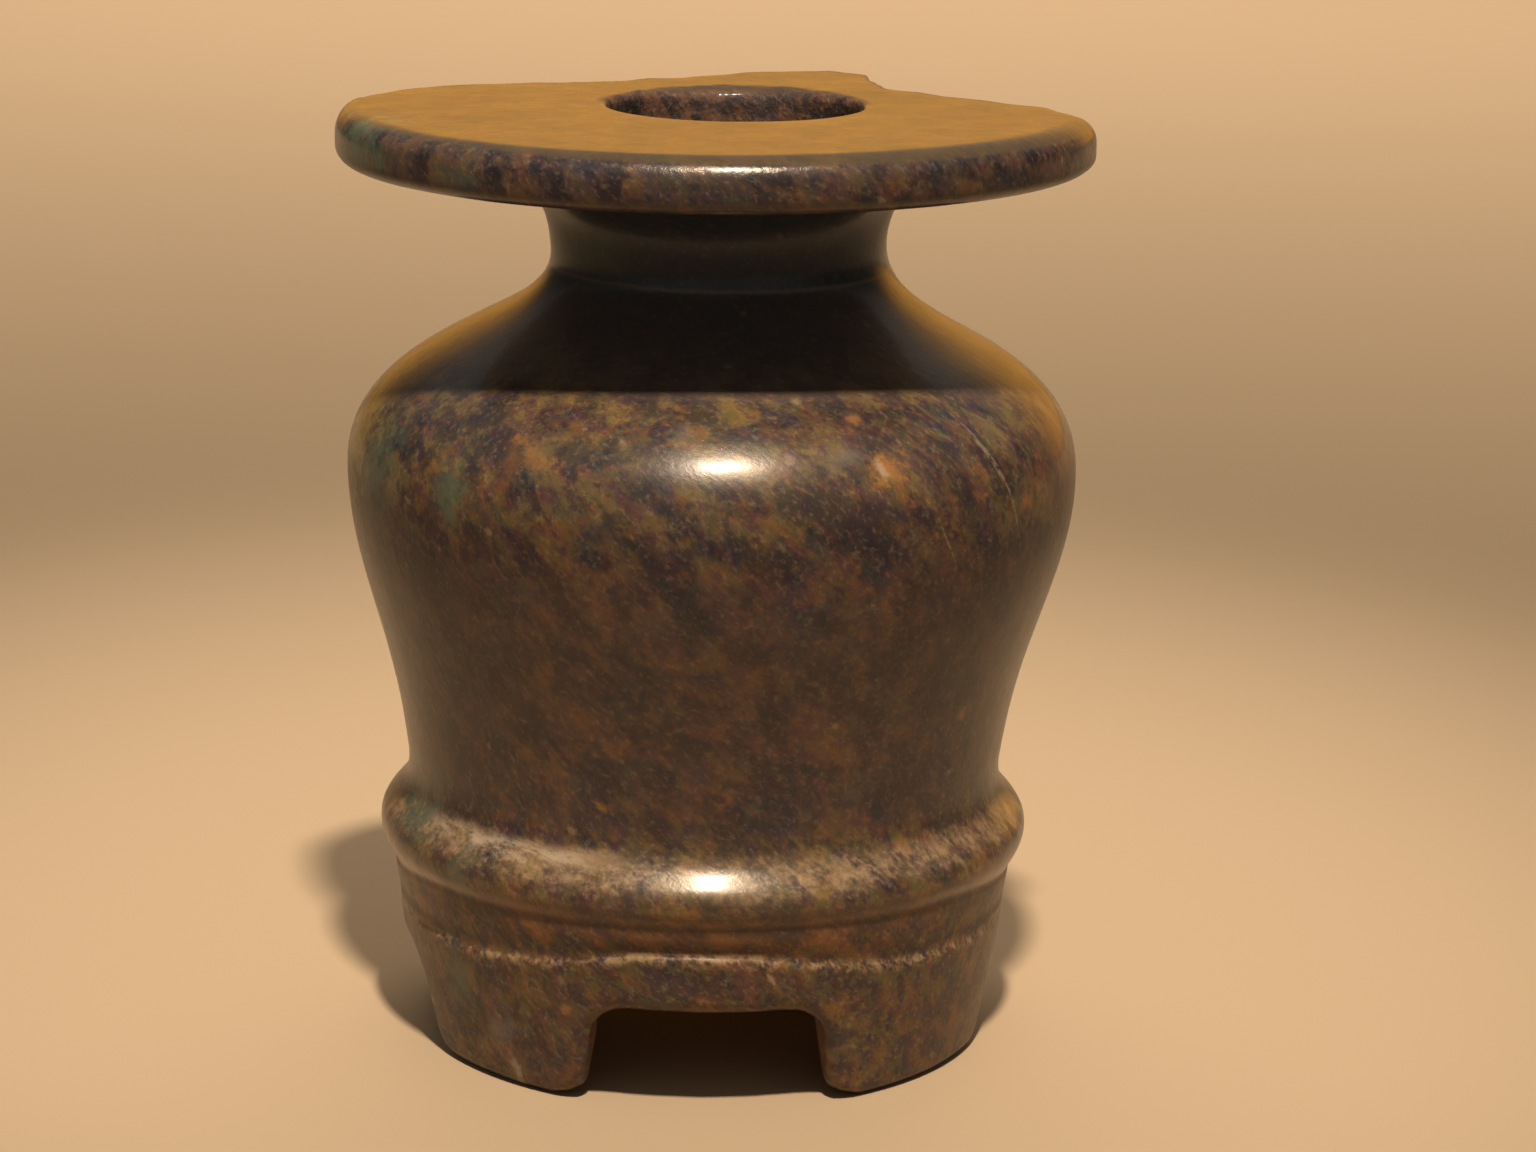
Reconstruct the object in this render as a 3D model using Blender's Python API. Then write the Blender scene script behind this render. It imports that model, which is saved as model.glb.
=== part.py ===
# A kohl pot: a small cosmetic jar carved from one block of dark stone.
# It has a wide flat rim with its back broken away, a short neck, a full
# shoulder, a waist, a ring round the base and a foot that two crossing
# channels cut into four legs. A drilled bore holds the kohl.
# Metres, +Z up. The origin is on the ground, on the pot's turning axis.

import math

import bpy
import numpy as np

MM = 0.001

# Foot and its legs
FOOT_BASE_RADIUS = 18.6 * MM
FOOT_TOP_RADIUS = 19.85 * MM
FOOT_HEIGHT = 9.2 * MM
FOOT_ROUND = 1.0 * MM
CREASE_DEPTH = 0.15 * MM
CREASE_LIP = 0.5 * MM
CREASE_LIFT = 2.0 * MM

# Channels that part the legs, wider at the ground than at their tops
FRONT_ARCH_WIDTH = 15.0 * MM
FRONT_ARCH_HEIGHT = 7.0 * MM
FRONT_ARCH_TURN = math.radians(2.5)
SIDE_ARCH_WIDTH = 13.4 * MM
SIDE_ARCH_HEIGHT = 6.3 * MM
SIDE_ARCH_TURN = math.radians(6.3)
SIDE_ARCH_SHIFT = 1.2 * MM  # towards the back
ARCH_LEAN = 0.65 * MM
ARCH_CORNER = 1.8 * MM
ARCH_OVERRUN = 5.0 * MM

# Ring round the base, and the waist above it
RING_RADIUS = 20.88 * MM
RING_RISE = 4.6 * MM
RING_FALL = 3.8 * MM
WAIST_RADIUS = 19.08 * MM
WAIST_HEIGHT = 0.6 * MM

# Body, shoulder and neck
BELLY_RADIUS = 23.14 * MM
BELLY_RISE = 18.8 * MM
SHOULDER_RISE = 14.0 * MM
SHOULDER_FULLNESS = 8.5 * MM
NECK_SWEEP = 5.2 * MM
NECK_WALL = 1.4 * MM
NECK_RISE = 5.1 * MM

# Rim
RIM_RADIUS = 23.85 * MM
RIM_THICKNESS = 3.4 * MM
RIM_SLOPE = 0.5 * MM
RIM_FLARE = 3.9 * MM
RIM_TOP_ROUND = 1.6 * MM
RIM_BOTTOM_ROUND = 1.0 * MM

# Bore, which stands a little to the right of the axis
BORE_RADIUS = 8.03 * MM
BORE_TAPER = 0.4 * MM
BORE_OFFSET = 1.2 * MM
BORE_END_ROUND = 4.0 * MM
FLOOR_THICKNESS = 8.0 * MM
MOUTH_ROUND = 0.4 * MM

# Broken edge of the rim, anticlockwise from the right: the angle in degrees
# and the share of the rim's overhang past the neck that is left there
BREAK = (
    (-10, 1.04), (-6, 0.94), (-1, 0.79), (4, 0.64), (18, 0.42), (34, 0.26), (39, 0.26),
    (51, 0.43), (58, 0.60), (67, 0.62), (78, 0.49), (89, 0.34), (104, 0.21), (118, 0.19),
    (137, 0.28), (153, 0.58), (163, 0.79), (170, 0.91), (177, 1.04),
)
BREAK_REACH = 1.3  # outer edge of the piece cut away, in rim radii

# How far the curves' handles reach, as shares of the height that a curve climbs
CREASE_PULL = 0.25
RING_LOWER_PULL = 0.4
RING_UPPER_PULL = 0.4
WAIST_PULL = 0.55
NECK_PULL = 0.5
FLARE_PULL = 0.1
FLARE_REACH = 0.3  # of the flare's width

SEGMENTS = 64
RING_STEPS = 5
BODY_STEPS = 8
SHOULDER_STEPS = 11
FLARE_STEPS = 5
ROUND_STEPS = 3
SHARP_ANGLE = math.radians(35)

# Levels and radii that follow from the sizes above
CREASE_LEVEL = FOOT_HEIGHT
RING_LEVEL = CREASE_LEVEL + RING_RISE
WAIST_LEVEL = RING_LEVEL + RING_FALL
FLANK_LEVEL = WAIST_LEVEL + WAIST_HEIGHT
BELLY_LEVEL = FLANK_LEVEL + BELLY_RISE
NECK_LEVEL = BELLY_LEVEL + SHOULDER_RISE
UNDERSIDE_LEVEL = NECK_LEVEL + NECK_RISE
RIM_EDGE_LEVEL = UNDERSIDE_LEVEL + RIM_SLOPE
TOP_LEVEL = RIM_EDGE_LEVEL + RIM_THICKNESS
NECK_RADIUS = BORE_RADIUS + BORE_OFFSET + NECK_WALL
FLOOR_LEVEL = FRONT_ARCH_HEIGHT + FLOOR_THICKNESS


def arc(centre, radius, start, end, steps):
    """Points (r, z) round a centre, from one angle in degrees to another."""
    turn = np.radians(np.linspace(start, end, steps + 1))
    return [(centre[0] + radius * math.cos(a), centre[1] + radius * math.sin(a)) for a in turn]


def bezier(first, first_pull, last_pull, last, steps):
    """Points on a cubic curve, without its first one."""
    points = []
    for step in range(1, steps + 1):
        t = step / steps
        weights = ((1 - t) ** 3, 3 * t * (1 - t) ** 2, 3 * t ** 2 * (1 - t), t ** 3)
        corners = (first, first_pull, last_pull, last)
        points.append(tuple(sum(w * c[axis] for w, c in zip(weights, corners)) for axis in (0, 1)))
    return points


def foot_outline():
    """From the ground's outer edge up the legs to the crease under the ring."""
    lip = FOOT_HEIGHT - CREASE_LIP
    points = arc((FOOT_BASE_RADIUS - FOOT_ROUND, FOOT_ROUND), FOOT_ROUND, -90, 0, ROUND_STEPS)
    middle = ((FOOT_BASE_RADIUS + FOOT_TOP_RADIUS) / 2, (FOOT_ROUND + lip) / 2)
    points += [middle, (FOOT_TOP_RADIUS, lip)]
    points.append((FOOT_TOP_RADIUS - CREASE_DEPTH, CREASE_LEVEL))
    return points


def ring_outline(start):
    """Out from the crease to the ring's widest level, then in to the waist."""
    widest = (RING_RADIUS, RING_LEVEL)
    waist = (WAIST_RADIUS, WAIST_LEVEL)
    points = bezier(start, (start[0], start[1] + RING_RISE * CREASE_PULL),
                    (RING_RADIUS, RING_LEVEL - RING_RISE * RING_LOWER_PULL), widest, RING_STEPS)
    points += bezier(widest, (RING_RADIUS, RING_LEVEL + RING_FALL * RING_UPPER_PULL),
                     (WAIST_RADIUS, WAIST_LEVEL - RING_FALL * WAIST_PULL), waist, RING_STEPS + 1)
    return points


def body_outline():
    """The flank swells by half a cosine wave, and the shoulder sweeps into the neck."""
    points = [(WAIST_RADIUS, FLANK_LEVEL)]
    for step in range(1, BODY_STEPS + 1):
        share = step / BODY_STEPS
        swell = (1 - math.cos(math.pi * share)) / 2
        radius = WAIST_RADIUS + (BELLY_RADIUS - WAIST_RADIUS) * swell
        points.append((radius, FLANK_LEVEL + BELLY_RISE * share))
    points += bezier((BELLY_RADIUS, BELLY_LEVEL), (BELLY_RADIUS, BELLY_LEVEL + SHOULDER_FULLNESS),
                     (NECK_RADIUS, NECK_LEVEL - NECK_SWEEP), (NECK_RADIUS, NECK_LEVEL),
                     SHOULDER_STEPS)
    return points


def rim_outline():
    """The neck flares into the rim's underside, then round its edge to the flat top."""
    fit = min(1.0, RIM_THICKNESS / (RIM_TOP_ROUND + RIM_BOTTOM_ROUND))
    top_round = RIM_TOP_ROUND * fit
    bottom_round = RIM_BOTTOM_ROUND * fit
    flare = (NECK_RADIUS + RIM_FLARE, UNDERSIDE_LEVEL)
    points = bezier((NECK_RADIUS, NECK_LEVEL), (NECK_RADIUS, NECK_LEVEL + NECK_RISE * NECK_PULL),
                    (NECK_RADIUS + RIM_FLARE * FLARE_REACH, UNDERSIDE_LEVEL - NECK_RISE * FLARE_PULL),
                    flare, FLARE_STEPS)
    points += arc((RIM_RADIUS - bottom_round, RIM_EDGE_LEVEL + bottom_round), bottom_round,
                  -90, 0, ROUND_STEPS)
    points += arc((RIM_RADIUS - top_round, TOP_LEVEL - top_round), top_round,
                  0, 90, ROUND_STEPS)
    return points


def bore_outline():
    """From the mouth's rounded lip down the bore to the edge of its floor's middle."""
    end_radius = BORE_RADIUS - BORE_TAPER
    points = arc((BORE_RADIUS + MOUTH_ROUND, TOP_LEVEL - MOUTH_ROUND), MOUTH_ROUND,
                 90, 180, ROUND_STEPS - 1)
    points.append((BORE_RADIUS - BORE_TAPER / 2, (TOP_LEVEL + FLOOR_LEVEL) / 2))
    end = arc((end_radius - BORE_END_ROUND, FLOOR_LEVEL + BORE_END_ROUND), BORE_END_ROUND,
              0, -90, ROUND_STEPS + 1)
    return points + end


def crease_lift(level):
    """Share of the crease's lift that a level takes, nothing at the ground and the ring."""
    levels = (0.0, FOOT_HEIGHT / 2, CREASE_LEVEL, RING_LEVEL)
    return np.interp(level, levels, (0.0, 0.0, 1.0, 0.0))


def turned_mesh(name):
    """Turns the outline about Z: the crease lifts at front and back, the bore stands aside."""
    foot = foot_outline()
    outside = foot + ring_outline(foot[-1]) + body_outline() + rim_outline()
    inside = bore_outline()
    outline = np.array(outside + inside)
    turn = np.arange(SEGMENTS) * 2 * math.pi / SEGMENTS
    radius = outline[:, :1]
    level = outline[:, 1:]
    aside = np.array([0.0] * len(outside) + [BORE_OFFSET] * len(inside))[:, None]
    lift = CREASE_LIFT * crease_lift(level) * np.sin(turn) ** 2
    lift[len(outside):] = 0.0
    grid = np.stack([radius * np.cos(turn) + aside, radius * np.sin(turn), level + lift], axis=-1)
    vertices = [tuple(point) for point in grid.reshape(-1, 3)]
    rows = len(outline)
    faces = []
    for row in range(rows - 1):
        for column in range(SEGMENTS):
            beside = (column + 1) % SEGMENTS
            below = row * SEGMENTS
            above = below + SEGMENTS
            faces.append((below + column, below + beside, above + beside, above + column))
    underside = tuple(reversed(range(SEGMENTS)))
    bore_end = tuple(range((rows - 1) * SEGMENTS, rows * SEGMENTS))
    faces += [underside, bore_end]
    mesh = bpy.data.meshes.new(name)
    mesh.from_pydata(vertices, [], faces)
    mesh.update()
    return mesh


def prism_mesh(name, lower, upper):
    """A closed prism between two rings of points, both anticlockwise seen from its far end."""
    count = len(lower)
    faces = [tuple(reversed(range(count))), tuple(range(count, 2 * count))]
    for index in range(count):
        beside = (index + 1) % count
        faces.append((index, beside, count + beside, count + index))
    mesh = bpy.data.meshes.new(name)
    mesh.from_pydata(lower + upper, [], faces)
    mesh.update()
    return mesh


def add_cutter(name, mesh):
    cutter = bpy.data.objects.new(name, mesh)
    cutter.hide_render = True
    cutter.display_type = "WIRE"
    bpy.context.collection.objects.link(cutter)
    return cutter


def arch_cutter(name, width, height, turn, shift=0.0):
    """A channel right across the foot, with rounded upper corners, along its own Y."""
    half = width / 2
    narrow = half - ARCH_LEAN
    reach = FOOT_TOP_RADIUS + ARCH_OVERRUN
    corner = min(ARCH_CORNER, height)
    right = arc((narrow - corner, height - corner), corner, 0, 90, ROUND_STEPS)
    left = arc((corner - narrow, height - corner), corner, 90, 180, ROUND_STEPS)
    below = ARCH_OVERRUN
    outline = [(-half, -below), (half, -below), (half, 0.0)] + right + left + [(-half, 0.0)]
    near = [(x, reach, z) for x, z in outline]
    far = [(x, -reach, z) for x, z in outline]
    cutter = add_cutter(name, prism_mesh(name, near, far))
    cutter.rotation_euler.z = turn
    cutter.location.y = shift
    return cutter


def break_cutter(name):
    """What is lost from the rim: a prism outside the broken edge."""
    overhang = RIM_RADIUS - NECK_RADIUS
    edge = [(math.radians(angle), NECK_RADIUS + overhang * share) for angle, share in BREAK]
    outer = [(angle, RIM_RADIUS * BREAK_REACH) for angle, radius in edge]
    outline = [(r * math.cos(a), r * math.sin(a)) for a, r in outer + edge[::-1]]
    bottom = NECK_LEVEL + NECK_RISE / 2
    top = TOP_LEVEL + RIM_THICKNESS
    lower = [(x, y, bottom) for x, y in outline]
    upper = [(x, y, top) for x, y in outline]
    return add_cutter(name, prism_mesh(name, lower, upper))


def stone_material():
    stone = bpy.data.materials.new("dark_stone")
    stone.use_nodes = True
    shader = stone.node_tree.nodes["Principled BSDF"]
    shader.inputs["Base Color"].default_value = (0.045, 0.034, 0.026, 1.0)
    shader.inputs["Roughness"].default_value = 0.3
    shader.inputs["Metallic"].default_value = 0.0
    return stone


def make_pot():
    pot = bpy.data.objects.new("kohl_pot", turned_mesh("kohl_pot"))
    pot.data.materials.append(stone_material())
    pot.data.shade_smooth()
    pot.data.set_sharp_from_angle(angle=SHARP_ANGLE)
    bpy.context.collection.objects.link(pot)
    cutters = (
        break_cutter("lost_rim"),
        arch_cutter("front_channel", FRONT_ARCH_WIDTH, FRONT_ARCH_HEIGHT, FRONT_ARCH_TURN),
        arch_cutter("side_channel", SIDE_ARCH_WIDTH, SIDE_ARCH_HEIGHT,
                    SIDE_ARCH_TURN + math.pi / 2, SIDE_ARCH_SHIFT),
    )
    for cutter in cutters:
        cut = pot.modifiers.new("cut_" + cutter.name, "BOOLEAN")
        cut.operation = "DIFFERENCE"
        cut.solver = "EXACT"
        cut.object = cutter
    return pot


def main():
    for thing in list(bpy.data.objects):
        bpy.data.objects.remove(thing, do_unlink=True)
    make_pot()


main()
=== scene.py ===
# A kohl pot, a small cosmetic jar carved from one block of dark mottled stone,
# with its rim broken away at the back, on a pale floor in soft studio light.
# Sizes in the dictionaries are in millimetres and degrees, unless a note says metres.

import itertools
import math

import bmesh
import bpy
import numpy as np
from mathutils import Matrix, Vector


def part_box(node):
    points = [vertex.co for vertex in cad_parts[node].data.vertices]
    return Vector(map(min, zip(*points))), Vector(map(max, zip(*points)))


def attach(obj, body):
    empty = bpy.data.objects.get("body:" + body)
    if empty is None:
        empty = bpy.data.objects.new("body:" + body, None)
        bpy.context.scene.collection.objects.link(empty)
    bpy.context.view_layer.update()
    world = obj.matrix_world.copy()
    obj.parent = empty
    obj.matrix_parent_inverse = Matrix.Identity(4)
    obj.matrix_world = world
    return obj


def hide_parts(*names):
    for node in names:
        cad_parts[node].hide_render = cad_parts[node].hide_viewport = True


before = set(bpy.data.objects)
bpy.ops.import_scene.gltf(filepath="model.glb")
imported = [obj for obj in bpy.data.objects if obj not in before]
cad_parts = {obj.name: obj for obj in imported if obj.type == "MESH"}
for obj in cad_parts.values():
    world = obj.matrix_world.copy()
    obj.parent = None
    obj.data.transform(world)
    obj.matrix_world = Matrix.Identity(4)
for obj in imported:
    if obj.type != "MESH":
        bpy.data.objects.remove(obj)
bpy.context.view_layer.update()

mm = 0.001
potLow, potHigh = (np.array(corner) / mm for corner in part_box("kohl_pot"))
print("frame loaded")

potShape = {
    "height": potHigh[2],         # this and the rim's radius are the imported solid's
    "rimRadius": -potLow[0],
    "footBase": 18.6,             # radius at the ground
    "footRound": 1.0,
    "lipRound": 0.50,             # the foot's upper arris
    "lipReach": 1.2,              # how far up and down from the arris its waver reaches
    # At the front and back, at the corners and at the sides:
    "stations": (0.0, 48.0, 82.0),    # degrees from the front or back
    "footTop": (19.9, 19.85, 19.6),
    "footHeight": (10.65, 8.95, 8.8),
    "lipStep": (0.22, 0.18, 0.03),    # how far the band stands back behind the arris
    "bandLevel": (12.15, 12.0, 11.2), # groove between the band and the ring
    "bandRadius": (20.3, 20.25, 19.95),
    "creaseWear": (0.4, 0.4, 1.3),    # how far up and down the crease above the arris is worn
    "creaseRise": 0.06,           # the crease above the arris
    "grooveDepth": 0.06,
    "grooveRise": 0.2,            # the groove's middle above the band
    "grooveWear": 0.9,
    "wearRounds": 5.5,            # rounds of wear for each millimetre of its reach
    "bandPulls": (0.4, 0.6),      # how far a curve holds its direction at its first and last end
    "groovePull": (0.14, 0.40),   # outwards and upwards
    "ringPulls": (0.45, 0.4),     # shares of the ring's rise and fall
    "waistPull": 0.55,
    "ringRadius": 20.88,
    "ringLevel": 13.8,
    "waistRadius": 19.08,
    "waistLevel": 17.6,
    "waistHeight": 0.6,           # of the upright stretch above the waist
    "flankFullness": 2.7,         # how much the flank bulges above that
    "bellyRadius": 23.18,
    "bellyLevel": 37.2,
    "shoulderFullness": 8.35,     # how far up the shoulder's curve holds the belly's direction
    "neckRadius": 10.63,
    "neckLevel": 51.0,
    "neckSweep": 5.4,             # how far down it holds the neck's
    "flare": 3.9,                 # how far the neck opens under the rim
    "flareLevel": 56.1,
    "flarePulls": (0.5, 0.7, 0.1),    # shares of its rise, its width and its rise again
    "rimEdgeLevel": 56.6,
    "rimTopRound": 1.6,
    "rimBottomRound": 1.0,
    "rimTilt": 0.010,             # the rim hangs a little to the left
    "tiltBelow": 2.0,             # how far under the neck's level that begins
    # The pot sways to the right as it rises: from a level, to a level, how far
    "sways": [(24.0, 36.0, 0.17), (38.0, 45.0, 0.15), (45.5, 48.0, 0.22), (49.0, 52.0, -0.22),
              (53.0, 57.0, -0.17)],
    "breakSoft": 0.9,             # wear where the break meets the whole rim
    "breakFull": 3.0,             # what is lost where the face is wholly broken
    "breakInset": 0.35,           # how far the underside stops short of the break
    "breakFace": (0.45, 0.7),     # how far the face stands back at its foot and its top
    "boreRadius": 8.03,
    "boreTaper": 0.4,
    "boreOffset": 1.2,            # the bore stands to the right of the axis
    "boreFloor": 15.0,
    "boreEndRound": 4.0,
    "mouthRound": 0.35,
    "mouthWear": 0.75,            # more round on the mouth's worn back lip
    "mouthGap": 0.3,              # plain wall under the lip
    "seenDepth": 8.0,             # wall that is seen through the mouth, with closer rows
    "seenTaper": 0.2,             # its share of the taper
    "floorRing": 0.35,            # radius of the last ring on the bore's floor
    # Numbers of points round the pot, and of rows
    "columns": 300,
    "rowsUnder": 22,
    "rowsEdge": 18,
    "rowsTop": 25,
    "rowsMouth": 6,
    # Soft noise on the stone: how high, how far apart, and its seed
    "lipWaver": [(0.16, 3.0, 31), (0.07, 0.9, 32)],
    "breakRagged": [(0.28, 2.6, 3), (0.14, 1.1, 4)],
    "breakRough": [(0.30, 2.4, 15), (0.16, 1.1, 16)],
    "breakRows": (0.06, 0.97),    # part of half a wave over the face's height
    "swells": [(0.060, 15.0, 11), (0.025, 6.0, 12), (0.008, 2.2, 13)],
    "boreRings": [(0.10, 4.0, 14)],
    "ringSqueeze": 3.0,           # the drill's rings are lower than they are wide
    "borePits": [(0.13, 1.3, 17), (0.09, 0.6, 18)],
    "boreFade": (0.3, 2.0),       # depths between which the pits begin
    "boreSmooth": 12,             # rows at the bore's end without pits
    "mouthPits": 0.6,             # share of the pits on the mouth's back lip
    "groundLevel": 0.02,          # under it the legs' undersides stay flat
}

# Broken edge of the rim: the angle, anticlockwise from the right, and the
# share of the overhang past the neck that is left
rimBreak = [
    (-10, 1.04), (-6, 0.94), (-1, 0.79), (4, 0.64), (18, 0.42), (34, 0.26), (39, 0.26),
    (51, 0.43), (58, 0.60), (67, 0.62), (78, 0.49), (89, 0.34), (104, 0.21), (118, 0.19),
    (137, 0.28), (153, 0.58), (163, 0.79), (170, 0.91), (177, 1.04),
]


# Soft noise: random numbers on a cubic lattice, joined by smooth steps, -1 to 1
def latticeNoise(points, spacing, seed):
    table = np.random.default_rng(seed).uniform(-1, 1, (32, 32, 32))
    place = points / spacing
    cell = np.floor(place).astype(int)
    share = place - cell
    share = share * share * (3 - 2 * share)
    total = np.zeros(points.shape[:-1])
    for corner in itertools.product((0, 1), repeat=3):
        weight = np.where(corner, share, 1 - share).prod(axis=-1)
        index = (cell + corner) % 32
        total += weight * table[index[..., 0], index[..., 1], index[..., 2]]
    return total


# Several soft noises added up, on top of what is there
def unevenness(points, layers, before=0.0):
    noises = (height * latticeNoise(points, spacing, seed) for height, spacing, seed in layers)
    return sum(noises, before)


# Smooth step from 0 at low to 1 at high: 3 t squared less 2 t cubed
def fade(value, low, high):
    share = np.clip((value - low) / (high - low), 0, 1)
    return share * share * (3 - 2 * share)


# Straight line between two (radius, level) points
def straight(first, last, count=24):
    share = np.linspace(0, 1, count)[:, None]
    return np.array(first) * (1 - share) + np.array(last) * share


# Part of a circle, from one angle to another: centre + radius (cos, sin)
def arc(centre, radius, start, end, count=24):
    turn = np.radians(np.linspace(start, end, count))
    return np.array(centre) + radius * np.stack([np.cos(turn), np.sin(turn)], axis=-1)


# Cubic curve that leaves its first point and reaches its last one along two pulls: the
# weights of the four points are the terms of ((1 - t) + t) cubed
def sweep(first, leaving, reaching, last, count=80):
    share = np.linspace(0, 1, count)[:, None]
    rest = 1 - share
    weights = (rest ** 3, 3 * share * rest ** 2, 3 * share ** 2 * rest, share ** 3)
    pulled = np.add(first, leaving), np.subtract(last, reaching)
    return sum(w * np.array(p) for w, p in zip(weights, (first, *pulled, last)))


# Length along a line up to each of its points
def lengthAlong(line):
    steps = np.hypot(*np.diff(line, axis=0).T)
    return np.concatenate([[0.0], np.cumsum(steps)])


# A line's points again, at even distances, without the first one
def evenly(line, count):
    length = lengthAlong(line)
    places = np.linspace(0, length[-1], count + 1)[1:]
    return np.stack([np.interp(places, length, line[:, axis]) for axis in (0, 1)], axis=-1)


# Outside of the pot from the ground to the neck, as rows of (radius, level), with the
# foot and the band as they are at one of the stations: lines, arcs and cubic curves end to
# end. The flank is half a cosine wave from the waist to the belly, plus a bulge of
# t times (1 - t) to the fourth
def bodyRows(s, station):
    footTop, footHeight, lipStep, bandLevel, bandRadius = (
        s[name][station] for name in ("footTop", "footHeight", "lipStep", "bandLevel", "bandRadius"))
    footEdge = (s["footBase"] - s["footRound"], s["footRound"])
    lip = (footTop - s["lipRound"], footHeight - s["lipRound"])
    lipBend = math.degrees(math.acos(1 - lipStep / s["lipRound"]))
    lipArc = arc(lip, s["lipRound"], 0, lipBend)
    crease = (footTop - lipStep, footHeight + s["creaseRise"])
    band = (bandRadius, bandLevel)
    groove = (bandRadius - s["grooveDepth"], bandLevel + s["grooveRise"])
    ring = (s["ringRadius"], s["ringLevel"])
    waist = (s["waistRadius"], s["waistLevel"])
    belly = (s["bellyRadius"], s["bellyLevel"])
    neck = (s["neckRadius"], s["neckLevel"])
    ringRise = ring[1] - groove[1]
    ringFall = waist[1] - ring[1]
    flankLevel = s["waistLevel"] + s["waistHeight"]
    swell = np.linspace(0, 1, 80)
    flank = np.stack([waist[0] + (belly[0] - waist[0]) * (1 - np.cos(np.pi * swell)) / 2
                      + s["flankFullness"] * swell * (1 - swell) ** 4,
                      flankLevel + (belly[1] - flankLevel) * swell], axis=-1)
    # Each zone's line, and how many rows it has
    zones = [
        (straight((0.0, 0.0), (footEdge[0], 0.0)), 16),
        (arc(footEdge, s["footRound"], -90, 0), 6),
        (straight((s["footBase"], s["footRound"]), (footTop, lip[1])), 22),
        (lipArc, 5),
        (straight(lipArc[-1], crease), 2),
        (sweep(crease, (0, s["bandPulls"][0]), (0, s["bandPulls"][1]), band), 9),
        (straight(band, groove), 2),
        (sweep(groove, s["groovePull"], (0, ringRise * s["ringPulls"][0]), ring), 14),
        (sweep(ring, (0, ringFall * s["ringPulls"][1]), (0, ringFall * s["waistPull"]), waist), 14),
        (straight(waist, (waist[0], flankLevel)), 1),
        (flank, 34),
        (sweep(belly, (0, s["shoulderFullness"]), (0, s["neckSweep"]), neck), 42),
    ]
    rows = np.concatenate([evenly(line, count) for line, count in zones])
    # Wear on the groove and the crease: points move to the mean of their neighbours
    for level, reach in ((groove[1], s["grooveWear"]), (crease[1], s["creaseWear"][station])):
        worn = 1 - fade(np.abs(rows[1:-1, 1:] - level), reach / 3, reach)
        for _ in range(round(s["wearRounds"] * reach)):
            rows[1:-1] += worn * ((rows[:-2] + rows[2:]) / 2 - rows[1:-1])
    return rows


# Radius that is left of the rim at each angle, chipped a little along the break, and how
# broken it is. With the width that is lost, or less than nothing on the whole rim, the cut
# is half of (lost + the root of (lost squared + soft squared))
def rimOutline(s, turn):
    angles, shares = np.array(rimBreak).T
    degrees = (np.degrees(turn) + 90) % 360 - 90
    whole = 2.0
    share = np.interp(degrees, angles, shares, left=whole, right=whole)
    ragged = np.stack([np.cos(turn), np.sin(turn), 0 * turn], axis=-1) * s["rimRadius"]
    rough = unevenness(ragged, s["breakRagged"])
    lost = (s["rimRadius"] - s["neckRadius"]) * (1 - share) - rough
    cut = (lost + np.sqrt(lost ** 2 + s["breakSoft"] ** 2)) / 2
    return s["rimRadius"] - cut, fade(cut, s["breakSoft"] / 2, s["breakFull"])


# Underside, edge and top of the rim, as grids of radius and level by row and angle.
# The underside is the flare cut off at the outline, the edge is two arcs where the
# rim is whole and a rough upright face where it is broken
def rimGrids(s, turn):
    edge, broken = rimOutline(s, turn)
    neck = (s["neckRadius"], s["neckLevel"])
    rise = s["flareLevel"] - s["neckLevel"]
    flareEnd = (s["neckRadius"] + s["flare"], s["flareLevel"])
    lowRound, topRound = s["rimBottomRound"], s["rimTopRound"]
    lower = (s["rimRadius"] - lowRound, s["rimEdgeLevel"])
    upward, inward, downward = s["flarePulls"]
    under = np.concatenate([
        sweep(neck, (0, rise * upward), (s["flare"] * inward, rise * downward), flareEnd),
        straight(flareEnd, lower)[1:],
    ])
    length = lengthAlong(under)
    underEnd = edge - lowRound * (1 - broken) - s["breakInset"] * broken
    reach = np.interp(underEnd, under[:, 0], length)
    places = reach * np.linspace(0, 1, s["rowsUnder"] + 1)[1:, None]
    underside = np.stack([np.interp(places, length, under[:, axis]) for axis in (0, 1)], axis=-1)

    top = s["height"]
    whole = evenly(np.concatenate([
        arc((-lowRound, s["rimEdgeLevel"] + lowRound), lowRound, -90, 0),
        arc((-topRound, top - topRound), topRound, 0, 90),
    ]), s["rowsEdge"])
    share = np.linspace(0, 1, s["rowsEdge"] + 1)[1:, None]
    climb = (whole[:, 1:] - s["rimEdgeLevel"]) / (top - s["rimEdgeLevel"])
    climb = climb * (1 - broken) + share * broken
    underLevel = underside[-1, :, 1]
    brokenFace = -s["breakFace"][0] * (1 - share) ** 3 - s["breakFace"][1] * share ** 5
    radius = edge + whole[:, :1] * (1 - broken) + brokenFace * broken
    edgeGrid = np.stack([radius, underLevel + (top - underLevel) * climb], axis=-1)
    return underside, edgeGrid, broken


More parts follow.
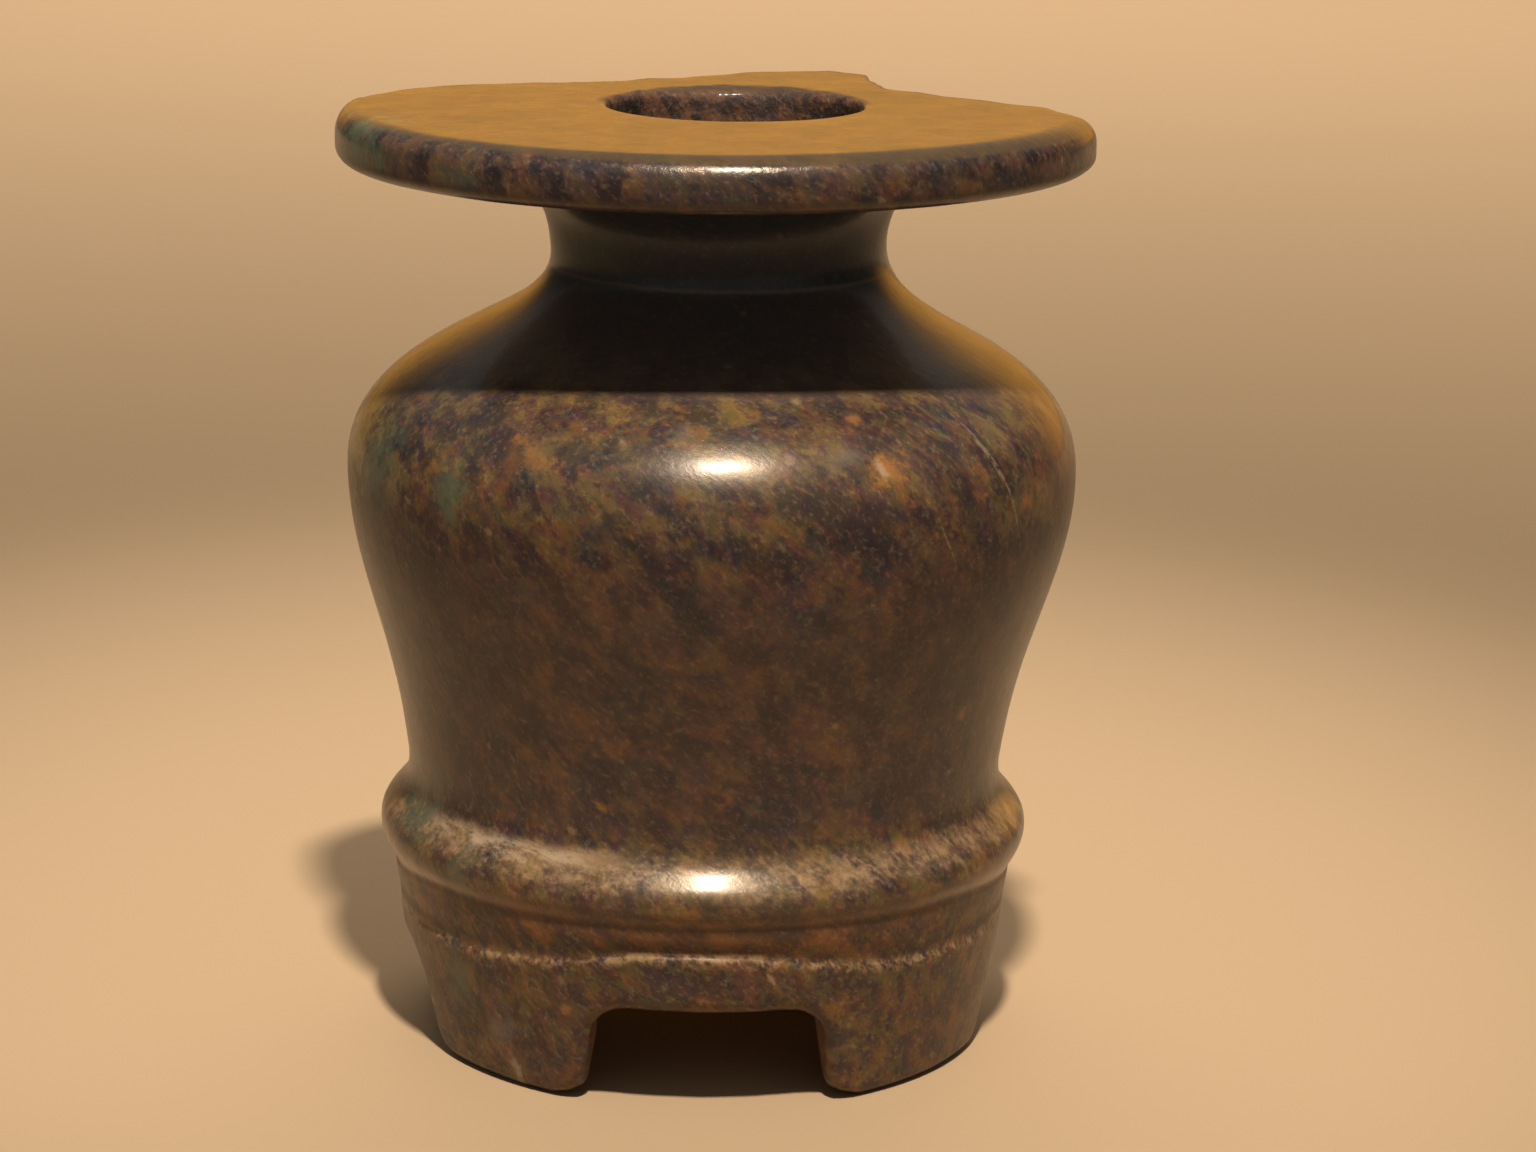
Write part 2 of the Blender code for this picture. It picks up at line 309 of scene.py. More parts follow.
# The bore from the mouth's lip down to the middle of its floor, as grids of radius
# and level by row and angle. The lip is a quarter circle, rounder at the back, where it is
# worn, by the sine of the angle squared
def boreGrids(s, turn):
    lip = s["mouthRound"] + s["mouthWear"] * np.clip(np.sin(turn), 0, 1) ** 2
    bend = np.linspace(0, np.pi / 2, s["rowsMouth"])[:, None]
    mouth = np.stack([s["boreRadius"] + lip * (1 - np.sin(bend)),
                      s["height"] - lip * (1 - np.cos(bend))], axis=-1)
    endRadius = s["boreRadius"] - s["boreTaper"]
    end = (endRadius - s["boreEndRound"], s["boreFloor"] + s["boreEndRound"])
    wallTop = s["height"] - s["mouthRound"] - s["mouthWear"] - s["mouthGap"]
    seenEnd = (s["boreRadius"] - s["boreTaper"] * s["seenTaper"], wallTop - s["seenDepth"])
    wall = np.concatenate([
        [(s["boreRadius"], wallTop)],
        evenly(straight((s["boreRadius"], wallTop), seenEnd), 32),
        evenly(straight(seenEnd, (endRadius, end[1])), 24),
        evenly(arc(end, s["boreEndRound"], 0, -90), 7),
        evenly(straight((end[0], s["boreFloor"]), (s["floorRing"], s["boreFloor"])), 4),
    ])
    return mouth, np.repeat(wall[:, None, :], len(turn), axis=1)


# Turns rows of (radius, level) about an upright axis that stands aside to the right:
# radius times cosine and sine, and the level
def turned(rows, turn, aside=0.0):
    if rows.ndim == 2:
        rows = np.repeat(rows[:, None, :], len(turn), axis=1)
    return np.stack([rows[..., 0] * np.cos(turn) + aside,
                     rows[..., 0] * np.sin(turn), rows[..., 1]], axis=-1)


# Outward direction at each grid point: across the neighbours round and up the grid
def gridNormals(grid):
    around = np.roll(grid, -1, axis=1) - np.roll(grid, 1, axis=1)
    upward = np.gradient(grid, axis=0)
    normal = np.cross(around, upward)
    return normal / np.maximum(np.linalg.norm(normal, axis=-1, keepdims=True), 1e-9)


# Blends what a thing is at the three stations: two smooth steps of the angle between them
def blended(s, turn, values):
    away = np.degrees(np.arccos(np.abs(np.sin(turn))))       # degrees from the front or back
    first, second, third = s["stations"]
    toCorner, toSide = fade(away, first, second), fade(away, second, third)
    return (values[0] * (1 - toCorner) + values[1] * toCorner) * (1 - toSide) + values[2] * toSide


# Level of the foot's upper arris, which wanders a little round the pot
def lipLevel(s, turn):
    around = np.stack([np.cos(turn), np.sin(turn), 0 * turn], axis=-1) * s["footTop"][0]
    return blended(s, turn, s["footHeight"]) + unevenness(around, s["lipWaver"])


# The whole pot without its channels: rows of rings from the ground to the bore's floor
def potGrid(s):
    turn = np.arange(s["columns"]) * 2 * np.pi / s["columns"]
    profiles = [bodyRows(s, station)[:, None, :] for station in range(3)]
    body = turned(blended(s, turn[:, None], profiles), turn)
    evenLip = blended(s, turn, s["footHeight"])
    nearLip = 1 - np.abs(body[..., 2] - evenLip) / s["lipReach"]
    body[..., 2] += (lipLevel(s, turn) - evenLip) * np.clip(nearLip, 0, 1)
    underRows, edgeRows, broken = rimGrids(s, turn)
    mouthRows, wallRows = boreGrids(s, turn)
    underside = turned(underRows, turn)
    edge = turned(edgeRows, turn)
    mouth = turned(mouthRows, turn, s["boreOffset"])
    wall = turned(wallRows, turn, s["boreOffset"])
    for part in (body, underside, edge):
        part[..., 0] += sum(far * fade(part[..., 2], low, high) for low, high, far in s["sways"])
    across = np.linspace(0, 1, s["rowsTop"] + 2)[1:-1, None, None]
    top = edge[-1] * (1 - across) + mouth[0] * across
    parts = (body, underside, edge, top, mouth, wall)
    return np.concatenate(parts), broken, np.cumsum([len(part) for part in parts])


# Hand-made unevenness: each point moves along its normal by soft swells over the whole
# pot, by the pits of the bore and by the roughness of the break
def weathered(s, grid, broken, rows):
    normal = gridNormals(grid)
    swell = unevenness(grid, s["swells"])
    underEnd, edgeEnd, topEnd, mouthEnd, wallEnd = rows[1:]
    pitsEnd = wallEnd - s["boreSmooth"]
    bore = np.zeros(grid.shape[:2])
    bore[mouthEnd:pitsEnd] = fade(s["height"] - grid[mouthEnd:pitsEnd, :, 2], *s["boreFade"])
    backward = np.clip(grid[topEnd:mouthEnd, :, 1] / s["boreRadius"], 0, 1)
    bore[topEnd:mouthEnd] = s["mouthPits"] * backward
    rings = unevenness(grid * np.array([1, 1, s["ringSqueeze"]]), s["boreRings"])
    swell += bore * unevenness(grid, s["borePits"], rings)
    face = np.zeros(len(grid))
    face[underEnd:edgeEnd] = np.sin(np.pi * np.linspace(*s["breakRows"], edgeEnd - underEnd))
    swell += face[:, None] * broken * unevenness(grid, s["breakRough"])
    flat = (grid[..., 2] < s["groundLevel"])[..., None]
    return grid + normal * np.where(flat, 0.0, swell[..., None])


# Four-sided faces between the neighbouring rings of a grid, all the way round
def ringFaces(rowCount, columnCount):
    row, column = np.meshgrid(np.arange(rowCount - 1), np.arange(columnCount), indexing="ij")
    beside = (column + 1) % columnCount
    below = row * columnCount
    above = below + columnCount
    quads = np.stack([below + column, below + beside, above + beside, above + column], axis=-1)
    return quads.reshape(-1, 4)


# A mesh object from points in millimetres and faces of any sizes
def meshObject(name, points, faces):
    mesh = bpy.data.meshes.new(name)
    mesh.from_pydata((points * mm).tolist(), [], [list(face) for face in faces])
    mesh.update()
    piece = bpy.data.objects.new(name, mesh)
    bpy.context.scene.collection.objects.link(piece)
    return piece


# The pot before its channels are cut: the rings joined by faces, and closed by a fan of
# triangles in the middle of the underside and of the bore's floor
def makeBlank(s):
    grid = weathered(s, *potGrid(s))
    high = fade(grid[..., 2], s["neckLevel"] - s["tiltBelow"], s["flareLevel"])
    grid[..., 2] += s["rimTilt"] * grid[..., 0] * high
    grid = grid[1:]               # the fan takes the innermost ring's place
    rowCount, columnCount = grid.shape[:2]
    middles = [(0.0, 0.0, 0.0), (s["boreOffset"], 0.0, s["boreFloor"])]
    points = np.concatenate([grid.reshape(-1, 3), middles])
    column = np.arange(columnCount)
    beside = (column + 1) % columnCount
    last = (rowCount - 1) * columnCount
    bottomFan = np.stack([beside, column, np.full(columnCount, rowCount * columnCount)], axis=-1)
    floorFan = np.stack([last + column, last + beside,
                         np.full(columnCount, rowCount * columnCount + 1)], axis=-1)
    faces = itertools.chain(ringFaces(rowCount, columnCount), bottomFan, floorFan)
    return meshObject("kohlPot", points, faces)


channels = {
    "front": {"width": 15.0, "height": 6.6, "turn": 2.5, "shift": 0.0},
    "side": {"width": 13.4, "height": 6.0, "turn": 96.3, "shift": 1.2},
    "lean": 0.65,                 # how much narrower each side is at the top
    "corner": 2.1,                # round between a side and the roof
    "reach": 27.0,                # from the axis to each end of the cutter
    "below": 3.0,                 # how far it goes on under the ground
    "flareStart": 15.3,           # where the sides begin to open towards the outside
    "flareEnd": 19.6,
    "flareWidth": 1.5,            # how far each side opens at the ground
    "flareTop": 0.35,             # share of that at the roof
    "flareRise": 0.05,            # how far the roof rises
    "riseStart": 1.5,
    "edgeRound": 1.4,             # soft lower edges of the legs
    "uneven": [(0.07, 3.5, 21), (0.04, 1.4, 22)],     # soft noise: height, spacing, seed
    "unevenStart": 1.5,           # how far under the roof its unevenness begins
}


# A channel's hollow: an arch profile carried along a straight path, opening at both ends.
# Each side is the half width plus the flare, which is a smooth step of the distance out,
# and at the ground a soft edge, the square of what is left of its round
def channelCutter(name, c, one):
    along = np.linspace(-c["reach"], c["reach"], 150)
    half = one["width"] / 2
    narrow = half - c["lean"]
    corner = c["corner"]
    buried = straight((half, -c["below"]), (half, 0.0), 6)
    side = straight((half, 0.0), (narrow, one["height"] - corner), 17)
    bend = arc((narrow - corner, one["height"] - corner), corner, 0, 90, 9)
    roof = straight((narrow - corner, one["height"]), (0.0, one["height"]), 14)
    right = np.concatenate([buried[:-1], side[:-1], bend[:-1], roof])
    left = right[::-1][1:] * np.array([-1, 1])
    profile = np.concatenate([right, left])
    out = fade(np.abs(along), c["flareStart"], c["flareEnd"])[:, None]
    low = np.clip(1 - profile[:, 1] / one["height"], 0, 1)
    wider = c["flareWidth"] * (c["flareTop"] + (1 - c["flareTop"]) * low) * out
    softEdge = c["edgeRound"] * np.clip(1 - profile[:, 1] / c["edgeRound"], 0, 1) ** 2
    x = profile[:, 0] + np.sign(profile[:, 0]) * (wider + softEdge)
    z = profile[:, 1] + c["flareRise"] * out * fade(profile[:, 1], c["riseStart"], one["height"])
    y = np.repeat(along[:, None], len(profile), axis=1)
    points = np.stack([x, y, z], axis=-1)
    uneven = unevenness(points, c["uneven"])
    points[..., 0] += uneven * fade(profile[:, 1], 0.0, 1.0) * np.sign(profile[:, 0])
    points[..., 2] += uneven * fade(profile[:, 1], one["height"] - c["unevenStart"], one["height"])
    turn = math.radians(one["turn"])
    x, y, z = np.moveaxis(points, -1, 0)
    turnedX = x * math.cos(turn) - y * math.sin(turn)
    turnedY = x * math.sin(turn) + y * math.cos(turn)
    points = np.stack([turnedX, turnedY + one["shift"], z], axis=-1)
    rowCount, columnCount = points.shape[:2]
    faces = ringFaces(rowCount, columnCount)[:, ::-1]
    caps = [np.arange(columnCount), (rowCount - 1) * columnCount + np.arange(columnCount)[::-1]]
    return meshObject(name, points.reshape(-1, 3), itertools.chain(faces, caps))


# Cuts the channels from the pot and leaves one plain mesh. Points that the cut leaves with
# only two edges are dissolved, so that no two triangles of the finished mesh overlap
def cutChannels(piece, c):
    cutters = [channelCutter(side + "Channel", c, c[side]) for side in ("front", "side")]
    for cutter in cutters:
        cut = piece.modifiers.new(cutter.name, "BOOLEAN")
        cut.operation = "DIFFERENCE"
        cut.solver = "EXACT"
        cut.object = cutter
    view = bpy.context.evaluated_depsgraph_get()
    finished = bpy.data.meshes.new_from_object(piece.evaluated_get(view))
    joined = bmesh.new()
    joined.from_mesh(finished)
    idle = [point for point in joined.verts if len(point.link_edges) == 2]
    bmesh.ops.dissolve_verts(joined, verts=idle)
    joined.to_mesh(finished)
    joined.free()
    piece.modifiers.clear()
    piece.data = finished
    for cutter in cutters:
        bpy.data.objects.remove(cutter)


# One property of all points, edges, faces or corners of a mesh
def readAll(parts, name, width=1, kind=float):
    values = np.empty(len(parts) * width, kind)
    parts.foreach_get(name, values)
    return values.reshape(-1, width) if width > 1 else values


softening = {
    "top": 8.0,                   # edges are softened below this level
    "sharp": 24.0,                # least bend of an edge that is softened, in degrees
    "spread": 1.1,                # how far from the edge the softening reaches
    "steps": 14,                  # edges that this distance is followed along
    "pull": 0.7,                  # share of the way to the mean that a point moves
    "rounds": 22,
}


# Softens worn edges: points near a sharp edge move towards the mean of their neighbours
def softenEdges(piece, c):
    mesh = piece.data
    points = readAll(mesh.vertices, "co", 3) / mm
    first, second = readAll(mesh.edges, "vertices", 2, np.int32).T
    faceNormals = readAll(mesh.polygons, "normal", 3)
    loopEdges = readAll(mesh.loops, "edge_index", 1, np.int32)
    loopCounts = readAll(mesh.polygons, "loop_total", 1, np.int32)
    loopNormals = np.repeat(faceNormals, loopCounts, axis=0)
    both = np.stack([np.bincount(loopEdges, loopNormals[:, axis], len(mesh.edges))
                     for axis in range(3)], -1)
    bent = np.linalg.norm(both, axis=1) < 2 * math.cos(math.radians(c["sharp"] / 2))
    bent &= (points[first, 2] < c["top"]) & (points[second, 2] < c["top"])
    away = np.full(len(points), np.inf)
    away[first[bent]] = away[second[bent]] = 0.0
    size = np.linalg.norm(points[first] - points[second], axis=1)
    for _ in range(c["steps"]):
        np.minimum.at(away, first, away[second] + size)
        np.minimum.at(away, second, away[first] + size)
    weight = (1 - fade(away, 0.0, c["spread"]))[:, None] * c["pull"]
    count = np.bincount(first, minlength=len(points)) + np.bincount(second, minlength=len(points))
    near = np.flatnonzero(weight[:, 0] > 0)
    inUse = np.isin(first, near) | np.isin(second, near)
    first, second = first[inUse], second[inUse]
    for _ in range(c["rounds"]):
        total = np.stack([np.bincount(first, points[second, axis], len(points))
                          + np.bincount(second, points[first, axis], len(points))
                          for axis in range(3)], -1)
        mean = total[near] / count[near, None]
        points[near] += weight[near] * (mean - points[near])
    points[:, 2] = np.maximum(points[:, 2], 0.0)
    mesh.vertices.foreach_set("co", (points * mm).ravel())
    mesh.update()


# Distances over which each finish begins or ends
finishEdges = {
    "breakIn": (0.9, 0.35),       # in from the rim's outline
    "breakDown": 0.6,             # under the end of the flare
    "boreOut": 0.8,               # out from the bore's wall
    "boreDown": 0.4,              # under the rim's top
    "boreSoft": 0.9,
    "backLine": (-3.0, 3.0),      # from the mouth's front to its worn back
    "backRise": 0.9,              # how much higher the bore begins at the back
    "backSoft": 0.5,              # and how much more suddenly
    "channelIn": (0.5, 1.6),      # in from the foot's skin
    "channelDown": 1.6,           # under the foot's arris
    "channelUp": 0.05,            # above the ground
    # share of raw stone in the channels, lightened there as painted fill light
    "channelRawAndFill": 0.9,
    "lipDown": 0.25,              # middle of the arris's painted highlight
    "lipNear": (0.10, 0.55),
    "lipIn": (1.0, 2.0),
    "grooveNear": (0.05, 0.5),
    "creaseUp": 0.5,              # middle of the painted shade above the arris
    "creaseNear": (0.1, 0.6),
    "creaseShadeShare": 0.5,
}


# Shares from 0 to 1 at each point, kept for the material: raw stone on the break and in the channels,
# where the channels are also lightened as painted fill light; the drilled bore; a painted highlight
# along the foot's upper arris; and painted shade in the groove under the ring and the crease above the
# arris.
# Each share is a product of smooth steps of a distance in millimetres
def markFinishes(piece, s, f):
    mesh = piece.data
    x, y, z = readAll(mesh.vertices, "co", 3).T / mm
    turn = np.arctan2(y, x)
    radius = np.hypot(x, y)
    edge, broken = rimOutline(s, turn)
    face = broken * fade(radius, edge - f["breakIn"][0], edge - f["breakIn"][1])
    face = face * fade(z, s["neckLevel"], s["flareLevel"] - f["breakDown"])
    depth = s["height"] - f["boreDown"] - z
    away = np.hypot(x - s["boreOffset"], y) - s["boreRadius"]
    inBore = (1 - fade(away, 0.0, f["boreOut"])) * (z > s["boreFloor"] - 1)
    atBack = fade(y, *f["backLine"])
    inBore *= fade(depth + f["backRise"] * atBack, 0.0, f["boreSoft"] - f["backSoft"] * atBack)
    lip = lipLevel(s, turn)
    skin = s["footBase"] + (blended(s, turn, s["footTop"]) - s["footBase"]) * z / lip
    inChannel = fade(skin - radius, *f["channelIn"])
    inChannel *= (z < lip - f["channelDown"]) & (z > f["channelUp"])
    # Painted highlight along the foot's upper arris
    onLip = 1 - fade(np.abs(z - lip + f["lipDown"]), *f["lipNear"])
    onLip *= 1 - fade(skin - radius, *f["lipIn"])
    # Painted shade: darker in the groove under the ring and in the crease above the foot's arris
    groove = blended(s, turn, s["bandLevel"]) + s["grooveRise"]
    inGroove = 1 - fade(np.abs(z - groove), *f["grooveNear"])
    inCrease = 1 - fade(np.abs(z - lip - f["creaseUp"]), *f["creaseNear"])
    paintedCreaseShade = np.maximum(inGroove, f["creaseShadeShare"] * inCrease)
    finishes = {
        "rawStoneAndFill": np.maximum(face, f["channelRawAndFill"] * inChannel),
        "drilledStone": inBore,
        "lipHighlight": onLip,
        "paintedCreaseShade": paintedCreaseShade * (radius > s["footBase"] - 1),
    }
    for name, share in finishes.items():
        mesh.attributes.new(name, "FLOAT", "POINT").data.foreach_set("value", share.astype(np.float32))


# A shader socket that takes part in sums: each sum adds its Math node
class Wire:
    def __init__(self, tree, socket=None):
        self.tree = tree
        self.socket = socket

    # Any other node: its type, its settings, the values or links of its sockets
    # by identifier, and the output that is wanted
    def node(self, kind, settings=(), values=(), output=0):
        made = self.tree.nodes.new(kind)
        for name, value in dict(settings).items():
            setattr(made, name, value)
        sockets = {socket.identifier: socket for socket in made.inputs}
        for name, value in dict(values).items():
            if isinstance(value, Wire):
                self.tree.links.new(value.socket, sockets[name])
            else:
                sockets[name].default_value = value
        return Wire(self.tree, made.outputs[output])

    # Another output of the same node
    def other(self, output):
        return Wire(self.tree, self.socket.node.outputs[output])

    def sum(self, operation, first, second=0.0):
        return self.node("ShaderNodeMath", {"operation": operation},
                         {"Value": first, "Value_001": second})

    def __add__(self, other):
        return self.sum("ADD", self, other)

    def __sub__(self, other):
        return self.sum("SUBTRACT", self, other)

    def __rsub__(self, other):
        return self.sum("SUBTRACT", other, self)

    def __mul__(self, other):
        return self.sum("MULTIPLY", self, other)

    def __abs__(self):
        return self.sum("ABSOLUTE", self)

    __radd__ = __add__
    __rmul__ = __mul__

    # Smooth step of this value, from 0 at low to 1 at high; low may be the higher one
    def fade(self, low, high):
        return self.node("ShaderNodeMapRange", {"interpolation_type": "SMOOTHSTEP"},
                         {"Value": self, "From Min": low, "From Max": high})

    # Two colours mixed by this value
    def mix(self, first, second):
        return self.node("ShaderNodeMix", {"data_type": "RGBA"},
                         {"Factor_Float": self, "A_Color": first, "B_Color": second}, 2)

    # Cloudy noise over this place, with patches of about the given size
    def clouds(self, size, detail, roughness):
        return self.node("ShaderNodeTexNoise", {}, {
            "Vector": self, "Scale": 1 / size, "Detail": detail, "Roughness": roughness})

    # This place seen from a point, along axes turned in degrees, in units of its own
    def placed(self, location=(0, 0, 0), rotation=(0, 0, 0), scale=(1, 1, 1)):
        return self.node("ShaderNodeMapping", {"vector_type": "TEXTURE"}, {
            "Vector": self, "Location": location,
            "Rotation": [math.radians(angle) for angle in rotation], "Scale": scale})

    # Distance from this place to a point
    def distanceTo(self, point):
        return self.node("ShaderNodeVectorMath", {"operation": "DISTANCE"},
                         {"Vector": self, "Vector_001": point}, 1)

    # Length of this place's arrow from the origin
    def length(self):
        return self.node("ShaderNodeVectorMath", {"operation": "LENGTH"}, {"Vector": self}, 1)

    # This place's measure along a direction
    def measureAlong(self, direction):
        return self.node("ShaderNodeVectorMath", {"operation": "DOT_PRODUCT"},
                         {"Vector": self, "Vector_001": direction}, 1)


stoneLooks = {
    "cool": (0.018, 0.018, 0.028),
    "warm": (0.080, 0.036, 0.026),
    "olive": (0.084, 0.066, 0.024),
    "plum": (0.066, 0.028, 0.032),
    "ochre": (0.205, 0.122, 0.032),
    "rust": (0.160, 0.060, 0.018),
    # slate tone, also painted cool fill light in the rim's shadow
    "slateAndFill": (0.036, 0.050, 0.064),
    "amber": (0.330, 0.140, 0.030),
    "black": (0.009, 0.009, 0.014),
    "grey": (0.150, 0.120, 0.115),
    # painted fill light for the shade under the rim
    "paintedFill": (0.145, 0.098, 0.076),
    "fleck": (0.32, 0.21, 0.12),
    "turquoise": (0.070, 0.098, 0.060),
    "lime": (0.37, 0.27, 0.18),
    "worn": (0.070, 0.043, 0.014),
    # colour of the painted sheen on the ring and the painted highlight on the foot's arris
    "rubbed": (0.300, 0.182, 0.088),
    # raw stone, which in the channels is also painted fill light
    "rawStoneAndFill": (0.190, 0.106, 0.066),
    # The polish, the same all over
    "finish": {"IOR": 1.45, "Specular Tint": (1.0, 0.86, 0.70, 1.0),
               "Coat Roughness": 0.12, "Coat IOR": 1.62},
    # Marks: colour, middle, lean in degrees, half sizes and strength
    "marks": [
        ("turquoise", (-15.2, -17.0, 38.8), (0, 0, -40), (1.2, 1.5, 2.2), 0.60),
        ("turquoise", (-20.6, -10.0, 38.5), (0, 0, -60), (3.4, 2.4, 3.8), 0.55),
        ("turquoise", (-14.9, -12.4, 6.4), (0, 0, -50), (1.3, 1.5, 2.1), 0.65),
        ("turquoise", (-17.6, -8.0, 16.0), (0, 0, -65), (3.4, 2.4, 2.0), 0.55),
        ("turquoise", (-14.6, -14.2, 13.6), (0, 0, -45), (1.0, 1.2, 1.8), 0.50),
        ("turquoise", (-6.8, -8.2, 51.5), (0, 0, 0), (2.6, 2.6, 2.2), 0.50),
        ("turquoise", (-21.6, -9.5, 58.0), (0, 0, -65), (4.6, 3.4, 2.6), 0.80),
        ("turquoise", (-14.5, -18.5, 57.6), (0, 0, -40), (1.8, 1.6, 1.2), 0.40),
        ("ochre", (-22.0, -5.0, 40.0), (0, 0, -75), (4.6, 2.6, 4.6), 0.85),
        ("rust", (21.9, -6.0, 39.6), (0, 0, 75), (4.6, 2.6, 4.6), 0.45),
        ("rust", (-11.5, -18.6, 40.6), (0, 12, 0), (0.6, 1.6, 2.4), 0.50),
        ("amber", (-10.4, -19.0, 41.9), (0, -30, 0), (0.8, 1.4, 1.6), 0.40),
        ("grey", (8.2, -19.7, 41.8), (0, -20, 0), (1.2, 1.5, 0.9), 0.35),
        ("grey", (-1.3, -19.9, 43.1), (0, -40, 0), (0.8, 1.3, 0.5), 0.25),
        ("amber", (10.8, -19.2, 41.0), (0, -30, 0), (1.2, 1.4, 0.9), 0.70),
        ("fleck", (10.5, -19.4, 41.0), (0, -40, 0), (0.26, 0.9, 0.60), 0.90),
        ("amber", (8.75, -17.4, 43.6), (0, 0, 0), (0.42, 0.6, 0.34), 0.45),
        ("fleck", (5.0, -20.7, 41.8), (0, 0, 0), (0.40, 0.6, 0.35), 0.45),
        ("fleck", (5.3, -17.2, 44.6), (0, 0, 0), (0.28, 0.5, 0.25), 0.45),
        ("fleck", (-4.9, -20.0, 42.6), (0, -45, 0), (0.20, 0.5, 0.38), 0.40),
        ("fleck", (-18.0, -14.5, 37.4), (0, -45, 0), (0.20, 0.5, 0.35), 0.35),
        ("fleck", (-12.8, -19.2, 36.7), (0, -45, 0), (0.20, 0.5, 0.30), 0.35),
        ("amber", (19.3, -12.5, 37.7), (0, 0, 0), (0.7, 0.8, 0.50), 0.45),
        ("amber", (15.8, -12.3, 24.2), (0, 0, 0), (0.55, 0.6, 0.50), 0.50),
        ("fleck", (15.3, -11.5, 20.2), (0, 0, 0), (0.30, 0.5, 0.35), 0.60),
        ("amber", (-5.9, -18.2, 19.5), (0, -45, 0), (0.36, 0.6, 0.60), 0.50),
        ("fleck", (-7.9, -18.7, 15.1), (0, 0, 0), (0.45, 0.8, 0.30), 0.50),
        ("amber", (-7.9, -17.7, 6.3), (0, 0, 0), (0.36, 0.6, 0.30), 0.50),
        ("fleck", (4.6, -19.1, 9.1), (0, -35, 0), (0.15, 0.5, 0.48), 0.70),
        # painted sheen on the ring beside its highlight
        ("rubbed", (-7.0, -18.6, 16.2), (0, -6, 0), (2.8, 1.8, 0.55), 0.60),
        ("grey", (-12.0, -14.8, 3.9), (0, -8, 0), (1.00, 1.5, 2.0), 0.55),
        ("lime", (-11.2, -15.0, 1.4), (0, -20, 0), (0.30, 1.0, 1.5), 0.55),
        ("fleck", (-16.9, -8.6, 3.4), (0, -45, 0), (0.30, 0.5, 0.55), 0.45),
    ],
    # Pale scratches: plane that each lies in, its middle, half length, width and strength
    "scratches": [
        ((0.529, 0.774, 0.348), (17.6, -14.0, 39.8), 7.5, 0.13, 0.44),
        ((0.529, 0.774, 0.348), (16.9, -14.2, 40.8), 2.6, 0.20, 0.48),
        ((0.679, 0.570, 0.463), (14.5, -17.8, 36.2), 2.4, 0.09, 0.34),
    ],
    # A limy streak along the ring's upper side at the left
    "limeMiddle": (-12.0, -15.4, 16.1),
    "limeReach": 9.5,
    "limeLevel": 16.15,
    "limeHeight": 0.85,
    "neckGlint": 49.95,            # a faint painted glint on the arris where the shoulder meets the neck
    "footLevel": 11.5,            # below it the stone is duller and more mottled
    "topLevel": 59.7,             # above it the stone is worn evenly
    # Bands of the pot: the levels where each begins, is full, is still full and ends
    # the shoulder's warm band where the key lamp falls: the stone's ochre and olive, partly painted
    # warm sheen
    "goldenAndSheenBand": (33.0, 40.5, 45.0, 50.0),
    "dullShadedFlank": (15.5, 18.0, 32.0, 38.0),
    # painted fill light in the rim's shadow on the shoulder
    "paintedFillShoulder": (44.2, 45.2, 48.0, 50.5),
    # slate tone on the neck and shaded upper shoulder, partly painted cool fill light
    "slateAndFillNeck": (44.5, 48.5, 55.5, 57.0),
    "rimEdge": (57.0, 58.0),      # from here up to the top
    "ringMiddle": 15.3,
    "ringSheenLevel": 15.6,           # where the ring's painted sheen runs, at the level of its highlight
    "underRingReflection": 11.6,            # a rust-coloured zone under the ring: painted orange reflection
    "flankShadeSides": (8.0, 17.0),    # distances to the side, between which the flank darkens: painted shade on its left and right sides
    "grainTurn": -44.0,           # lean of the grain and the polishing streaks, in degrees
    "grainStretch": 1.5,
    "streakStretch": 7.0,
}


